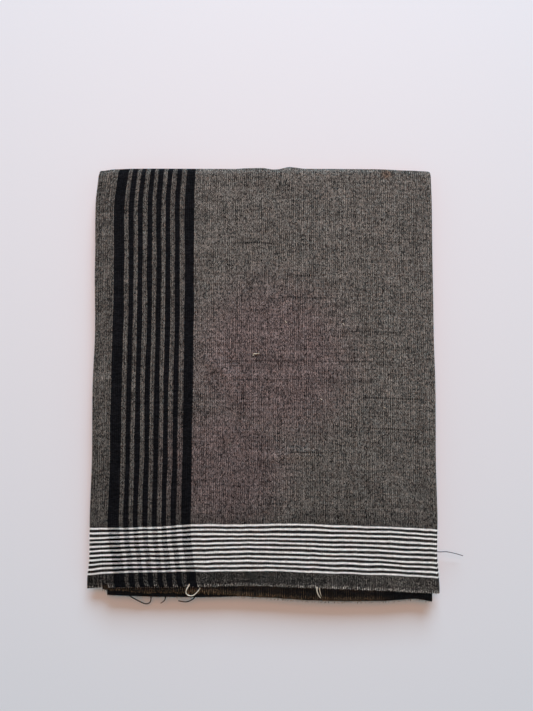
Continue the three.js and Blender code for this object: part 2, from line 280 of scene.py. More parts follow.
@dataclass
class FoldedCloth:
    """The whole cloth, from cut end to cut end and selvedge to selvedge, in millimetres."""

    settling: Settling
    creases: tuple[Crease, ...] = ()
    stack_height: float = 16.1
    thickness: float = 0.42
    layer_pitch: float = 0.66
    floor_gap: float = 0.08
    turns: tuple[Turn, ...] = (
        Turn(-180.5, False, (0, 13.9, 17.4, 0, 5.6)),
        Turn(173.95, True, (0, 3, 4, 0, 2.4)),
        Turn(-171.9, False, (12, 14, 15, 3.5, 6.5)),
        Turn(173.95, True, (5, 7, 4, 1.5, 3.2)),
        Turn(-170.9, False, (17, 15, 16, 4.6, 6.8)),
        Turn(173.95, True, (6, 4, 5, 1.8, 3.4)),
        Turn(-177.5, False, (16, 18, 15, 5.0, 7.4)),
    )
    levels: tuple[int, ...] = (5, 0, 3, 2, 1, 4)
    cut_y: tuple[float, ...] = (-173.33, -180.5, -181.2, -181.2)
    run_columns: tuple[int, int, int, int] = (104, 14, 14, 40)
    fold_columns: tuple[int, int, int] = (6, 4, 4)
    top_rows: int = 118
    hidden_rows: int = 12
    turn_rows: tuple[int, ...] = (14, 8, 6, 6, 8)
    band_end: float = 50.3
    border_fade: float = 60.0
    panel_width: float = 285.0
    crease_from: float = 10.0
    smooth_angle: float = 50.0

    def level_heights(self) -> Array:
        """Gives the height of the middle of each level's bundle."""
        reach = 1.5 * self.layer_pitch + self.thickness / 2
        low = self.floor_gap + reach
        return np.linspace(low, self.stack_height - reach, len(self.levels))

    def columns(self) -> dict[str, Array]:
        """Works out the stations across the bundle.

        Returns:
            For each column, its weights on the five edges, its offset from them, its
            height in the bundle and the shares in which it belongs to the four panels.
        """
        stations: list[tuple[object, ...]] = []
        outer, inner = 1.5 * self.layer_pitch, 0.5 * self.layer_pitch
        levels = (outer, -outer, -inner, inner)
        reaches = ((0.0, -outer), (-outer, inner), (inner, -inner), (-inner, 0.0))
        edges = (Edge.TOP, Edge.RIGHT, Edge.LEFT, Edge.INNER, Edge.SECOND)
        order = (Panel.TOP, Panel.FOURTH, Panel.THIRD, Panel.SECOND)
        for run, level in enumerate(levels):
            start, stop = np.eye(5)[edges[run].value], np.eye(5)[edges[run + 1].value]
            own = np.eye(4)[order[run].value]
            for share in np.linspace(0.0, 1.0, self.run_columns[run] + 1)[min(run, 1):]:
                offset = between(*reaches[run], share)
                stations.append((between(start, stop, share), offset, level, own))
            if run + 1 == len(levels):
                break
            middle, radius = (level + levels[run + 1]) / 2, (level - levels[run + 1]) / 2
            side = -1.0 if edges[run + 1] is Edge.LEFT else 1.0
            after = np.eye(4)[order[run + 1].value]
            for share in np.linspace(0.0, 1.0, self.fold_columns[run] + 1)[1:]:
                reach = side * abs(radius) * (math.sin(math.pi * share) - 1.0)
                height = middle + radius * math.cos(math.pi * share)
                stations.append((stop, reach, height, between(own, after, share)))
        return dict(zip(("edges", "offset", "height", "panel"), map(np.array, zip(*stations))))

    def edge_places(self, turn: Turn) -> Array:
        """Gives the x of the five edges at one end of a run."""
        return EDGE_SIDES * (self.settling.fold_width / 2 - np.array(turn.insets))

    def rows(self) -> dict[str, Array]:
        """Works out the stations along the bundle.

        Returns:
            For each row, its place and outward normal in the YZ plane, its five edges,
            the length of cloth up to it, its share of the first run, and whether it is
            in that run.
        """
        heights = self.level_heights()
        stations: list[tuple[object, ...]] = []
        for run, level in enumerate(self.levels):
            first, last = self.turns[run], self.turns[run + 1]
            start, stop = self.edge_places(first), self.edge_places(last)
            out = (0.0, 1.0 if run % 2 == 0 else -1.0)
            count = self.top_rows if run == 0 else self.hidden_rows
            for share in np.linspace(0.0, 1.0, count + 1):
                place = (between(first.y, last.y, share), heights[level])
                stations.append((place, out, between(start, stop, share), share, run == 0))
            if run + 1 == len(self.levels):
                break
            other = heights[self.levels[run + 1]]
            middle = (heights[level] + other) / 2
            radius = abs(heights[level] - other) / 2
            side = 1.0 if last.far else -1.0
            down = 1.0 if heights[level] > other else -1.0
            for angle in np.linspace(0.0, math.pi, self.turn_rows[run] + 1)[1:-1]:
                reach, rise = math.sin(angle), math.cos(angle)
                place = (last.y + side * radius * reach, middle + down * radius * rise)
                stations.append((place, (down * reach, side * rise), stop, 1.0, False))
        names = ("place", "out", "edges", "share_top", "on_top")
        rows = dict(zip(names, map(np.array, zip(*stations))))
        return rows | dict(length=run_length(rows["place"]))

    def shape(self) -> tuple[Array, Array]:
        """Lays the whole grid along the folds.

        Returns:
            The settled places, as rows by columns by 3, and the flat cloth's own
            coordinates, as rows by columns by 2, both in millimetres.
        """
        rows, columns = self.rows(), self.columns()
        x = rows["edges"] @ columns["edges"].T + columns["offset"]
        height = np.broadcast_to(columns["height"], x.shape)
        y = rows["place"][:, :1] + height * rows["out"][:, :1]
        z = rows["place"][:, 1:] + height * rows["out"][:, 1:]

        cut = columns["panel"] @ np.array(self.cut_y)
        on_top = rows["on_top"][:, None]
        along_top = between(cut[None, :], self.turns[1].y, rows["share_top"][:, None])
        y = np.where(on_top, along_top, y)
        slipped = rows["length"][:, None] - (cut[None, :] - self.turns[0].y)
        length = np.where(on_top, y - cut[None, :], slipped)
        width = np.broadcast_to(self.width_stations(x), x.shape)

        outermost = 1.0 - eased((length - self.turns[1].y + self.cut_y[0]) / self.border_fade)
        lean = self.settling.border_shift(x, y) * columns["panel"][:, 0] * outermost
        bow = self.weft_bow(x, y, length, on_top, columns["panel"])
        places = self.settling.settle(np.stack([x, y, z], -1), lean, bow)
        upper = eased((z - self.crease_from) / (self.stack_height - 0.5 - self.crease_from))
        for crease in self.creases:
            places[..., 2] += crease.lift(places[..., 0], places[..., 1]) * upper
        places = places + self.handling(places, rows["length"][:, None], width)
        return places, np.stack([width, length], -1)

    def width_stations(self, x: Array) -> Array:
        """Gives each column's distance across the flat cloth, from the selvedge on top."""
        middle = x[self.top_rows // 2]
        return run_length(np.stack([middle, self.columns()["height"]], -1))

    def weft_bow(
        self,
        x: Array,
        y: Array,
        length: Array,
        on_top: Array,
        panel: Array,
    ) -> Array:
        """Works out how far each weft line bows along the stack.

        Args:
            x: Places across.
            y: Places along.
            length: How far along the cloth each place is.
            on_top: Whether each row lies in the top level.
            panel: The shares in which each column belongs to the four panels.

        Returns:
            The shift along y of each grid point.
        """
        end, along = self.settling.end, self.settling.along(y)
        far = end.read(x, "far")
        near = sum(
            panel[:, each.value] * end.read(x, each.name.lower())
            for each in (Panel.SECOND, Panel.THIRD, Panel.FOURTH)
        )
        hidden = between(end.read(x, "third"), far, along)
        upper = between(near, far * (1.0 - panel[:, 0]), along)
        whole = self.turns[1].y - self.cut_y[0]
        band = end.read(x, "band")
        inside = between(end.read(x, "top"), band, np.clip(length / self.band_end, 0.0, 1.0))
        beyond = eased((length - self.band_end) / (whole - self.band_end))
        bowed = np.where(length > self.band_end, between(band, far, beyond), inside)
        return np.where(on_top, upper + panel[:, 0] * bowed, hidden)

    def handling(self, places: Array, length: Array, width: Array) -> Array:
        """Gives the small unevenness that no two layers share.

        Args:
            places: The settled places.
            length: How far along the cloth each row is.
            width: How far across the cloth each column is.

        Returns:
            An offset for each place, largest at the open edges and nil on the floor.
        """
        x, y, z = np.moveaxis(places, -1, 0)
        edge = eased((np.abs(x) - 100.0) / 40.0)
        phase = length * 0.021 + np.floor(width / self.panel_width) * 1.7
        sway = 0.35 * np.sin(phase) + 0.22 * np.sin(2.7 * phase + 1.1)
        shift_x = edge * sway * eased((15.2 - z) / 2.0) * eased((z - 0.3) / 1.0)
        swell = 0.16 * np.sin(x / 31.0 + 0.8) * np.sin(y / 43.0)
        swell = swell + 0.1 * np.sin(x / 17.0 + y / 23.0)
        shift_z = swell * eased((z - 9.0) / 6.0)
        return np.stack([shift_x, np.zeros(x.shape), shift_z], -1)

    def flat_size(self) -> Pair:
        """Gives the width and length of the flat cloth, in metres."""
        _, flat = self.shape()
        return float(flat[0, -1, 0]) * MM, float(flat[-1, 0, 1]) * MM

    def cut_edge(self, panel: Panel) -> tuple[Array, Array]:
        """Finds where one panel was cut at the near side.

        Args:
            panel: The panel.

        Returns:
            The places along its cut end, and the direction in which its warp leaves it.
        """
        places, _ = self.shape()
        own = self.columns()["panel"][:, panel.value] > 0.99
        edge, inside = places[0, own], places[1, own]
        way = edge - inside
        order = np.argsort(edge[:, 0])
        return edge[order], (way / np.linalg.norm(way, axis=1)[:, None])[order]

    def build(self) -> Object:
        """Makes the cloth from a flat grid, folds it, and gives it its thickness.

        Returns:
            The finished cloth.
        """
        places, flat = self.shape()
        count_along, count_across = places.shape[:2]
        deselect()
        bpy.ops.mesh.primitive_grid_add(
            x_subdivisions=count_across - 1, y_subdivisions=count_along - 1, size=1.0
        )
        cloth = bpy.context.object
        cloth.name = "folded_cloth"
        mesh = cloth.data
        row, column = np.divmod(np.arange(len(mesh.vertices)), count_across)
        mesh.vertices.foreach_set("co", (places[row, column] * MM).ravel())

        used = np.empty(len(mesh.loops), dtype=np.int32)
        mesh.loops.foreach_get("vertex_index", used)
        while mesh.uv_layers:
            mesh.uv_layers.remove(mesh.uv_layers[0])
        layer = mesh.uv_layers.new(name="cloth")
        layer.data.foreach_set("uv", (flat[row, column][used] * MM).ravel())
        mesh.update()

        wall = cloth.modifiers.new("wall", "SOLIDIFY")
        wall.thickness = self.thickness * MM
        wall.offset = 0.0
        bpy.ops.object.modifier_apply(modifier=wall.name)
        bpy.ops.object.shade_smooth_by_angle(angle=math.radians(self.smooth_angle))
        return cloth


@dataclass(frozen=True)
class Value:
    """A socket that can be reckoned with: each operator adds one Math node."""

    sketch: "Sketch"
    socket: NodeSocket

    def math(self, operation: str, *others: object, clamp: bool = False) -> "Value":
        """Adds a Math node that takes this value first."""
        return self.sketch.math(operation, self, *others, clamp=clamp)

    __add__ = partialmethod(math, "ADD")
    __mul__ = partialmethod(math, "MULTIPLY")
    __sub__ = partialmethod(math, "SUBTRACT")
    __truediv__ = partialmethod(math, "DIVIDE")
    __abs__ = partialmethod(math, "ABSOLUTE")

    def __rsub__(self, other: object) -> "Value":
        """Takes this value away from another."""
        return self.sketch.math("SUBTRACT", other, self)

    def wave(self, pitch: float) -> "Value":
        """Gives a wave from -1 to 1 that repeats with a pitch."""
        return (self * (2.0 * math.pi / pitch)).math("SINE")

    def ease(self, low: float, high: float, to_low: float, to_high: float) -> "Value":
        """Maps the value smoothly from one range to another."""
        names = ("Value", "From Min", "From Max", "To Min", "To Max")
        given = dict(zip(names, (self, low, high, to_low, to_high)))
        return self.sketch.value("ShaderNodeMapRange", 0, given, interpolation_type="SMOOTHSTEP")

    def band(self, centre: float, half: object, soft: float) -> "Value":
        """Gives 1 within a band and 0 outside it, with a soft edge."""
        return ((half - abs(self - centre)) / soft).math("ADD", 0.5, clamp=True)

    def lines(self, start: float, pitch: float, count: int, half: object, soft: float) -> "Value":
        """Gives 1 on each of a row of lines.

        Args:
            start: Where the first line's share of the row starts.
            pitch: The length of each line's share.
            count: How many lines there are.
            half: Half of a line's width.
            soft: The width of a line's soft edge.

        Returns:
            The mask.
        """
        run = (self - start).math("WRAP", pitch, 0.0)
        half_row = count * pitch / 2
        return run.band(pitch / 2, half, soft) * self.band(start + half_row, half_row, ROW_SOFT)


class Sketch:
    """Writes a node tree as a chain of values."""

    def __init__(self, tree: NodeTree) -> None:
        """Starts on a tree."""
        self.tree = tree

    def feed(self, socket: NodeSocket, value: object) -> None:
        """Links a value to a socket, or sets it there if it is a constant."""
        if isinstance(value, Value):
            self.tree.links.new(value.socket, socket)
        else:
            socket.default_value = value

    def node(self, kind: str, given: Feeds, **settings: object) -> Node:
        """Adds a node.

        Args:
            kind: The node's type.
            given: What its inputs take, by name or number: values or constants.
            **settings: Its settings.

        Returns:
            The node.
        """
        node = self.tree.nodes.new(kind)
        for name, setting in settings.items():
            setattr(node, name, setting)
        for name, value in given.items():
            self.feed(node.inputs[name], value)
        return node

    def values(self, node: Node, *names: object) -> list[Value]:
        """Takes outputs of a node, by name or number."""
        return [Value(self, node.outputs[name]) for name in names]

    def value(self, kind: str, name: object, given: Feeds, **settings: object) -> Value:
        """Adds a node and takes the output named."""
        return self.values(self.node(kind, given, **settings), name)[0]

    def math(self, operation: str, *values: object, clamp: bool = False) -> Value:
        """Adds a Math node, its result held between 0 and 1 if clamped."""
        given = dict(enumerate(values))
        return self.value("ShaderNodeMath", 0, given, operation=operation, use_clamp=clamp)

    def vector(self, *parts: object) -> Value:
        """Joins two or three values into a vector."""
        return self.value("ShaderNodeCombineXYZ", 0, dict(enumerate(parts)))

    def noise(
        self, x: Value, y: Value, cell: Pair, z: float = 0.0, detail: float = 1.0
    ) -> Value:
        """Adds smooth noise over a plane.

        Args:
            x: The place across.
            y: The place along.
            cell: The noise's measure across and along.
            z: Which plane of the noise is taken, so that no two patterns are alike.
            detail: How many finer octaves it has.

        Returns:
            The noise, which lies round 0.5.
        """
        place = self.vector(x * (1.0 / cell[0]), y * (1.0 / cell[1]), z)
        given = {"Vector": place, "Scale": 1.0, "Detail": detail}
        return self.value("ShaderNodeTexNoise", "Fac", given, noise_dimensions="3D")

    def chance(self, x: object, y: object) -> Value:
        """Draws an even chance from 0 to 1 for each pair of whole numbers."""
        given = {"Vector": self.vector(x, y)}
        return self.value("ShaderNodeTexWhiteNoise", "Value", given, noise_dimensions="2D")

    def mix(self, share: Value, first: object, second: object) -> Value:
        """Mixes two colours by a share."""
        return self.value("ShaderNodeMix", 2, {0: share, 6: first, 7: second}, data_type="RGBA")

    def shaded(self, colour: object, shade: Value) -> Value:
        """Multiplies a colour by a shade."""
        first = colour if isinstance(colour, Value) else colour[:3]
        return self.value("ShaderNodeVectorMath", 0, {0: first, "Scale": shade}, operation="SCALE")

    def bump(self, height: Value, strength: float, distance: float) -> Value:
        """Turns a height into a bump, whose distance is in millimetres."""
        given = {"Strength": strength, "Distance": distance * MM, "Height": height}
        return self.value("ShaderNodeBump", 0, given)


@dataclass(frozen=True)
class Ripple:
    """A smooth unevenness: its cell, the noise's plane, the spread it maps and its swing."""

    cell: Pair
    plane: float
    spread: float
    swing: float

    def read(self, x: Value, y: Value) -> Value:
        """Gives the unevenness at a place, from -swing to swing."""
        noise = x.sketch.noise(x, y, self.cell, self.plane)
        return noise.ease(0.5 - self.spread, 0.5 + self.spread, -self.swing, self.swing)


def started(name: str) -> tuple[Material, NodeInputs, Sketch]:
    """Starts a material and gives it with its shader's inputs and its sketch."""
    material = bpy.data.materials.new(name)
    material.use_nodes = True
    tree = material.node_tree
    return material, tree.nodes["Principled BSDF"].inputs, Sketch(tree)


@dataclass(frozen=True)
class YarnGrain:
    """The unevenness of hand-spun yarn, shared by the woven cloth and the loose yarns."""

    name: str = "yarn_grain"
    stretch: float = 2.6
    contrast: float = 0.86
    darkest: float = 0.08
    slow: Ripple = Ripple((1 / 0.73, 50.0), 3.0, 0.2, 0.2)
    slub_cell: Pair = (1 / 1.31, 1 / 0.03)
    slub_plane: float = 19.0
    slub_ramp: Ramp = (0.67, 0.76, 0.0, 1.0)

    def tree(self) -> NodeTree:
        """Builds the group once and returns it.

        Returns:
            A group that takes a place across and along the yarns, counted in yarns, and
            gives a shade round 1 and a slub mask from 0 to 1.
        """
        if self.name in bpy.data.node_groups:
            return bpy.data.node_groups[self.name]
        tree = bpy.data.node_groups.new(self.name, "ShaderNodeTree")
        for way, names in (("INPUT", ("Across", "Along")), ("OUTPUT", ("Shade", "Slub"))):
            for name in names:
                tree.interface.new_socket(name, in_out=way, socket_type="NodeSocketFloat")
        sketch = Sketch(tree)
        across, along = sketch.values(sketch.node("NodeGroupInput", {}), "Across", "Along")
        which = across.math("FLOOR")
        own = sketch.chance(which, 71.0)
        run = along * (1.0 / self.stretch) + own * 9.7
        each = sketch.chance(which, run.math("FLOOR"))
        tone = (each - 0.5) * (2.0 * self.contrast) + 1.0
        tone = (tone + self.slow.read(which, along)) * (own * 0.24 + 0.88)
        slub = sketch.noise(which, along, self.slub_cell, self.slub_plane).ease(*self.slub_ramp)
        shade = tone.math("MAXIMUM", self.darkest)
        sketch.node("NodeGroupOutput", {"Shade": shade, "Slub": slub})
        return tree

    def place(self, sketch: Sketch, across: Value, along: Value) -> list[Value]:
        """Places the group in a tree and takes its shade and its slub mask."""
        given = {"Across": across, "Along": along}
        node = sketch.node("ShaderNodeGroup", given, node_tree=self.tree())
        return sketch.values(node, "Shade", "Slub")


@dataclass(frozen=True)
class BorderStripes:
    """The black warp stripes beside each selvedge, in millimetres from it."""

    first_edge: float = 14.6
    first: float = 9.3
    thin_edge: float = 27.6
    thin: float = 4.4
    pitch: float = 7.95
    count: int = 6
    last_edge: float = 76.0
    last: float = 8.0
    soft: float = 0.45

    def mask(self, inland: Value) -> Value:
        """Gives 1 where the warp is black, by the distance from the nearer selvedge."""
        first = inland.band(self.first_edge + self.first / 2, self.first / 2, self.soft)
        last = inland.band(self.last_edge + self.last / 2, self.last / 2, self.soft)
        start = self.thin_edge - (self.pitch - self.thin) / 2
        thin = inland.lines(start, self.pitch, self.count, self.thin / 2, self.soft)
        return first.math("MAXIMUM", last).math("MAXIMUM", thin)

    def reach(self) -> float:
        """Gives the inner edge of the last stripe."""
        return self.last_edge + self.last


@dataclass(frozen=True)
class EndBand:
    """The white weft lines and the dark heading at each cut end, counted in picks."""

    pick: float = 0.46625
    first_pick: int = 26
    picks_white: int = 4
    picks_apart: int = 8
    count: int = 11
    soft: float = 0.16
    closing: float = 0.19
    teeth: float = 0.17

    def mask(self, inward: Value, swing: Value) -> Value:
        """Gives 1 on the white lines.

        Args:
            inward: The distance from the nearer cut end, in millimetres.
            swing: The rhythm of the warp's bundles, from -1 to 1.

        Returns:
            The mask.
        """
        start = self.heading() - (self.picks_apart - self.picks_white) * self.pick / 2
        half = swing * self.teeth + (self.picks_white * self.pick / 2 - self.closing)
        return inward.lines(start, self.picks_apart * self.pick, self.count, half, self.soft)

    def heading(self) -> float:
        """Gives the length of the dark heading."""
        return self.first_pick * self.pick

    def reach(self) -> float:
        """Gives the inner edge of the innermost white line."""
        lines = (self.count - 1) * self.picks_apart + self.picks_white
        return self.heading() + lines * self.pick


@dataclass(frozen=True)
class WeftBar:
    """A thicker or darker pick that runs part of the way across, in flat millimetres."""

    inward: float
    start: float
    stop: float
    width: float
    shade: float
    soft: float = 0.5
    fade: float = 16.0

    def mask(self, across: Value, inward: Value) -> Value:
        """Gives 1 on the pick."""
        half = (self.stop - self.start) / 2
        level = inward.band(self.inward, self.width / 2, self.soft)
        return level * across.band(self.start + half, half, self.fade)


@dataclass(frozen=True)
class CreaseShading:
    """A soft line of painted highlight or painted shade along a crease, in flat millimetres."""

    start: Pair
    stop: Pair
    width: float
    shade: float

    def mask(self, across: Value, inward: Value) -> Value:
        """Gives 1 on the line and 0 beyond its width.

        Args:
            across: The distance from the selvedge on top.
            inward: The distance from the nearer cut end.

        Returns:
            The mask.
        """
        run_x, run_y = self.stop[0] - self.start[0], self.stop[1] - self.start[1]
        square = run_x**2 + run_y**2
        off_x, off_y = across - self.start[0], inward - self.start[1]
        share = (off_x * (run_x / square)).math("ADD", off_y * (run_y / square), clamp=True)
        gap_x, gap_y = off_x - share * run_x, off_y - share * run_y
        away = (gap_x * gap_x + gap_y * gap_y).math("SQRT")
        return away.ease(0.0, self.width, 1.0, 0.0)


@dataclass(frozen=True)
class Patch:
    """A soft round patch, in flat millimetres."""

    centre: Pair
    reach: float
    core: float = 0.35

    def mask(self, across: Value, inward: Value) -> Value:
        """Gives 1 at the patch's middle and 0 beyond its reach."""
        off_x, off_y = across - self.centre[0], inward - self.centre[1]
        away = (off_x * off_x + off_y * off_y).math("SQRT")
        return away.ease(self.reach * self.core, self.reach, 1.0, 0.0)


@dataclass(frozen=True)
class ClothPoint:
    """What the tree knows of a point: its flat millimetres, the warp's rhythm and the masks."""

    sketch: Sketch
    across: Value
    along: Value
    inland: Value
    inward: Value
    swing: Value
    stripe: Value
    line: Value
    under: Value
    hem: Value


@dataclass(frozen=True)
class Chambray:
    """The woven cotton: light warp over dark weft, black border stripes, a white end band."""

    flat_width: float
    flat_length: float
    bars: tuple[WeftBar, ...]
    crease_shading: tuple[CreaseShading, ...]
    warp_pitch: float = 0.43
    bundle: float = 0.7
    bead_pitch: float = 1.45
    reed_pitch: float = 1.72
    warp: Colour = (0.213, 0.196, 0.168, 1.0)
    # Painted reflection: the warm tint that reflected warm light lays over the middle of the cloth
    reflection_tint: Colour = (0.225, 0.175, 0.16, 1.0)
    weft: Colour = (0.0085, 0.0082, 0.0088, 1.0)
    black: Colour = (0.0021, 0.0025, 0.0038, 1.0)
    white: Colour = (0.93, 0.92, 0.86, 1.0)
    heading: Colour = (0.0055, 0.0058, 0.0064, 1.0)
    reverse: Colour = (0.19, 0.122, 0.064, 1.0)
    stain: Colour = (0.2, 0.122, 0.075, 1.0)
    stripes: BorderStripes = BorderStripes()
    band: EndBand = EndBand()
    border_tone: float = 0.74
    # Two soft patches of painted warm reflection
    reflection_patches: tuple[Patch, Patch] = (Patch((150.0, 185.0), 95.0), Patch((112.0, 100.0), 75.0))
    stain_patch: Patch = Patch((250.2, 348.6), 6.4)
    stain_depth: float = 0.65
    under_across: Ramp = (292.0, 298.0, 0.0, 1.0)
    under_inward: Ramp = (13.0, 19.0, 1.0, 0.0)
    hem_reach: Ramp = (0.9, 3.0, 1.0, 0.0)
    # Painted shade on the layers below the top layer's cut end: nearly black over the third panel,
    # darker from 1036 mm across, and darker further in under the top layer
    third_panel_shade: Ramp = (872.0, 905.0, 0.05, 1.0)
    second_end_shade: Ramp = (1036.0, 1062.0, 1.0, 0.4)
    under_top_shade: Ramp = (2.4, 4.4, 1.0, 0.22)
    sway: Ripple = Ripple((55.0, 9.0), 0.0, 0.3, 0.42)
    fine_sway: Ripple = Ripple((9.0, 30.0), 8.0, 0.3, 0.16)
    lean: Ripple = Ripple((6.0, 48.0), 3.0, 0.3, 0.42)
    speck: Ripple = Ripple((0.8, 0.75), 15.0, 0.14, -0.55)
    streak: Ripple = Ripple((60.0, 2.2), 5.0, 0.25, 0.2)
    ladder: Ripple = Ripple((1.5, 30.0), 9.0, 0.25, 0.07)
    mottle_cell: float = 14.0
    reed_depth: Ramp = (0.35, 0.65, 0.42, 0.22)
    mottle_depth: Ramp = (0.3, 0.7, 0.89, 1.11)
    # Painted shade: the tone falls to 0.8 within 30 mm of the cut ends, for the light's falloff
    # towards the near end
    painted_near_falloff: Ramp = (30.0, 190.0, 0.8, 1.0)
    dotting: Ramp = (-0.6, 0.7, 1.15, 0.5)
    slub_depth: float = 0.35
    white_keeps: float = 0.9
    white_shade: Ramp = (0.1, 1.9, 0.8, 1.14)
    edge_soft: float = 0.4
    dark_past: float = 4.0
    in_band: float = 0.49
    past_band: Ramp = (0.0, 16.0, 0.17, 0.0)
    heading_across: Ramp = (130.0, 250.0, -0.06, -0.36)
    heading_inland: Ramp = (84.0, 96.0, -0.14, 0.0)
    in_white: float = 0.8
    in_reverse: float = 0.42
    bead_cell: Pair = (1.5, 0.9)
    bead_ramp: Ramp = (0.9, 2.2, 0.05, 2.4)
    weave_ramp: Ramp = (-0.3, 0.3, 0.0, 1.0)
    roughness: Ramp = (-1.0, 1.0, 0.88, 0.98)
    weft_start: float = 6000.0
    weft_bundle: float = 0.5
    gloss: float = 0.06
    bump_strength: float = 0.4
    bump_height: float = 0.14

    def material(self) -> Material:
        """Builds the cloth's material.

        Returns:
            The material, which reads the flat cloth's coordinates from its UV map.
        """
        material, shader, sketch = started("chambray")
        at = self.point(sketch)
        warp_count, weft_count = at.across / self.warp_pitch, at.along / self.band.pick
        yarn = YarnGrain()
        warp_shade, _ = yarn.place(sketch, warp_count * self.bundle, weft_count)
        weft_yarn = (weft_count + self.weft_start, warp_count * self.weft_bundle)
        weft_shade, slub = yarn.place(sketch, *weft_yarn)
        weave = (warp_count * math.pi).math("SINE") * (weft_count * math.pi).math("SINE")
        pull = self.pull(at) + (weft_shade - 1.0) * 0.12
        shown = (weave + pull).ease(*self.weave_ramp)

        warp = sketch.shaded(self.warp_colour(at), warp_shade)
        colour = sketch.mix(shown, warp, self.weft_colour(at, weft_shade))
        tone = self.tone(at, slub)
        tone = tone + at.line * self.white_keeps * (1.0 - tone)
        sketch.feed(shader["Base Color"], sketch.shaded(colour, tone))
        sketch.feed(shader["Roughness"], weave.ease(*self.roughness))
        shader["Specular IOR Level"].default_value = self.gloss
        rise = abs(weave) * 0.5 + (warp_shade + weft_shade) * 0.12
        sketch.feed(shader["Normal"], sketch.bump(rise, self.bump_strength, self.bump_height))
        return material

    def point(self, sketch: Sketch) -> ClothPoint:
        """Reads the flat cloth's coordinates and lets the yarns wander a little.

        Args:
            sketch: The tree to write in.

        Returns:
            The distances from the selvedge and the cut end on top and from the nearer of
            each, the rhythm of the warp's bundles, and the masks of the black warp, the
            white weft, the reverse below the top layer's cut end, and the bare warp there.
        """
        flat = sketch.value("ShaderNodeUVMap", 0, {}, uv_map="cloth")
        parts = sketch.values(sketch.node("ShaderNodeSeparateXYZ", {0: flat}), 0, 1)
        across, along = (part * MM_PER_METRE for part in parts)
        wander = (self.sway.read(across, along), self.fine_sway.read(across, along))
        lean = self.lean.read(across, along)
        along, across = along + wander[0] + wander[1], across + lean
        inland = across.math("MINIMUM", self.flat_width / MM - across)
        inward = along.math("MINIMUM", self.flat_length / MM - along)
        swing = across.wave(self.bead_pitch)
        return ClothPoint(
            sketch=sketch,
            across=across,
            along=along,
            inland=inland,
            inward=inward,
            swing=swing,
            stripe=self.stripes.mask(inland),
            line=self.band.mask(inward, swing),
            under=across.ease(*self.under_across) * inward.ease(*self.under_inward),
            hem=inward.ease(*self.hem_reach),
        )

    def pull(self, at: ClothPoint) -> Value:
        """Works out how far the weft closes over the warp.

        Args:
            at: The point.

        Returns:
            0 where warp and weft show alike, up to 1 where only the weft shows.
        """
        soft, edge = self.edge_soft, self.band.reach()
        inside, in_heading = (
            at.inward.ease(place - soft, place + soft, 1.0, 0.0)
            for place in (edge, self.band.heading())
        )
        past = (at.inward - edge).ease(*self.past_band)
        fade = at.across.ease(*self.heading_across) + at.inland.ease(*self.heading_inland)
        speck = at.swing * 0.3 + self.speck.read(at.across, at.inward)
        dark = inside * (self.in_band - at.swing * 0.4)
        dark = dark + in_heading * (fade + at.hem * -0.2 + speck) + past
        white = self.in_white - at.stripe * self.in_white - at.swing * 0.2
        pull = dark + at.line * (white - dark)
        return pull + at.under * (self.in_reverse - pull)

    def warp_colour(self, at: ClothPoint) -> Value:
        """Colours the warp: painted warm reflection over two patches, the stain, the border, and
        the reverse with its painted shade.

        Args:
            at: The point.

        Returns:
            The warp's colour.
        """
        sketch = at.sketch
        # Painted warm reflection over two soft patches
        reflection, low_reflection = (patch.mask(at.across, at.inward) for patch in self.reflection_patches)
        body = sketch.mix(reflection.math("MAXIMUM", low_reflection), self.warp, self.reflection_tint)
        spot = self.stain_patch.mask(at.across, at.inward)
        body = sketch.mix(spot * self.stain_depth, body, self.stain)
        reach = self.stripes.reach()
        border = at.inland.ease(reach - 0.5, reach + 1.5, self.border_tone, 1.0)
        body = sketch.mix(at.stripe, sketch.shaded(body, border), self.black)
        wander = sketch.noise(at.across, at.inward, self.bead_cell, 12.0) * 2.6
        beads = (at.swing + wander).ease(*self.bead_ramp)
        body = sketch.shaded(body, at.hem * (beads * 1.7 - 1.0) + 1.0)
        # Painted shade on the lower layers' reverse: nearly black over the third panel, darker
        # from 1036 mm across and further in under the top layer
        lit = at.across.ease(*self.third_panel_shade) * at.across.ease(*self.second_end_shade)
        lit = lit * at.inward.ease(*self.under_top_shade) * beads
        return sketch.mix(at.under, body, sketch.shaded(self.reverse, lit))

    def weft_colour(self, at: ClothPoint, shade: Value) -> Value:
        """Colours the weft.

        Args:
            at: The point.
            shade: The weft yarn's own shade.

        Returns:
            The weft's colour.
        """
        sketch, edge = at.sketch, self.band.reach()
        inside = at.inward.ease(edge - self.edge_soft, edge + self.dark_past, 1.0, 0.0)
        dark = sketch.shaded(sketch.mix(inside, self.weft, self.heading), shade)
        white = sketch.shaded(self.white, shade.ease(*self.white_shade))
        return sketch.mix(at.line, dark, white)

    def tone(self, at: ClothPoint, slub: Value) -> Value:
        """Works out the uneven tone of the whole cloth.

        Args:
            at: The point.
            slub: Where the weft yarn thickens.

        Returns:
            A shade round 1: reed stripes, mottles, streaks, slubs, the darker picks, painted
                crease highlights and shade, and painted shade towards the cut ends.
        """
        place = (at.across, at.along)
        mottle = at.sketch.noise(*place, (self.mottle_cell, self.mottle_cell), 2.0, 2.0)
        reed = at.across.wave(self.reed_pitch)
        tone = reed * mottle.ease(*self.reed_depth) + mottle.ease(*self.mottle_depth)
        tone = tone + self.streak.read(*place) + self.ladder.read(*place)
        # Painted shade, darker towards the cut ends
        tone = tone * at.inward.ease(*self.painted_near_falloff)
        # Painted highlights and painted shade along the creases
        for shading in self.crease_shading:
            tone = tone + shading.mask(at.across, at.inward) * shading.shade
        dots = reed.ease(*self.dotting)
        dark = slub * self.slub_depth
        for bar in self.bars:
            dark = dark.math("MAXIMUM", bar.mask(at.across, at.inward) * dots * bar.shade)
        return tone * (1.0 - dark)


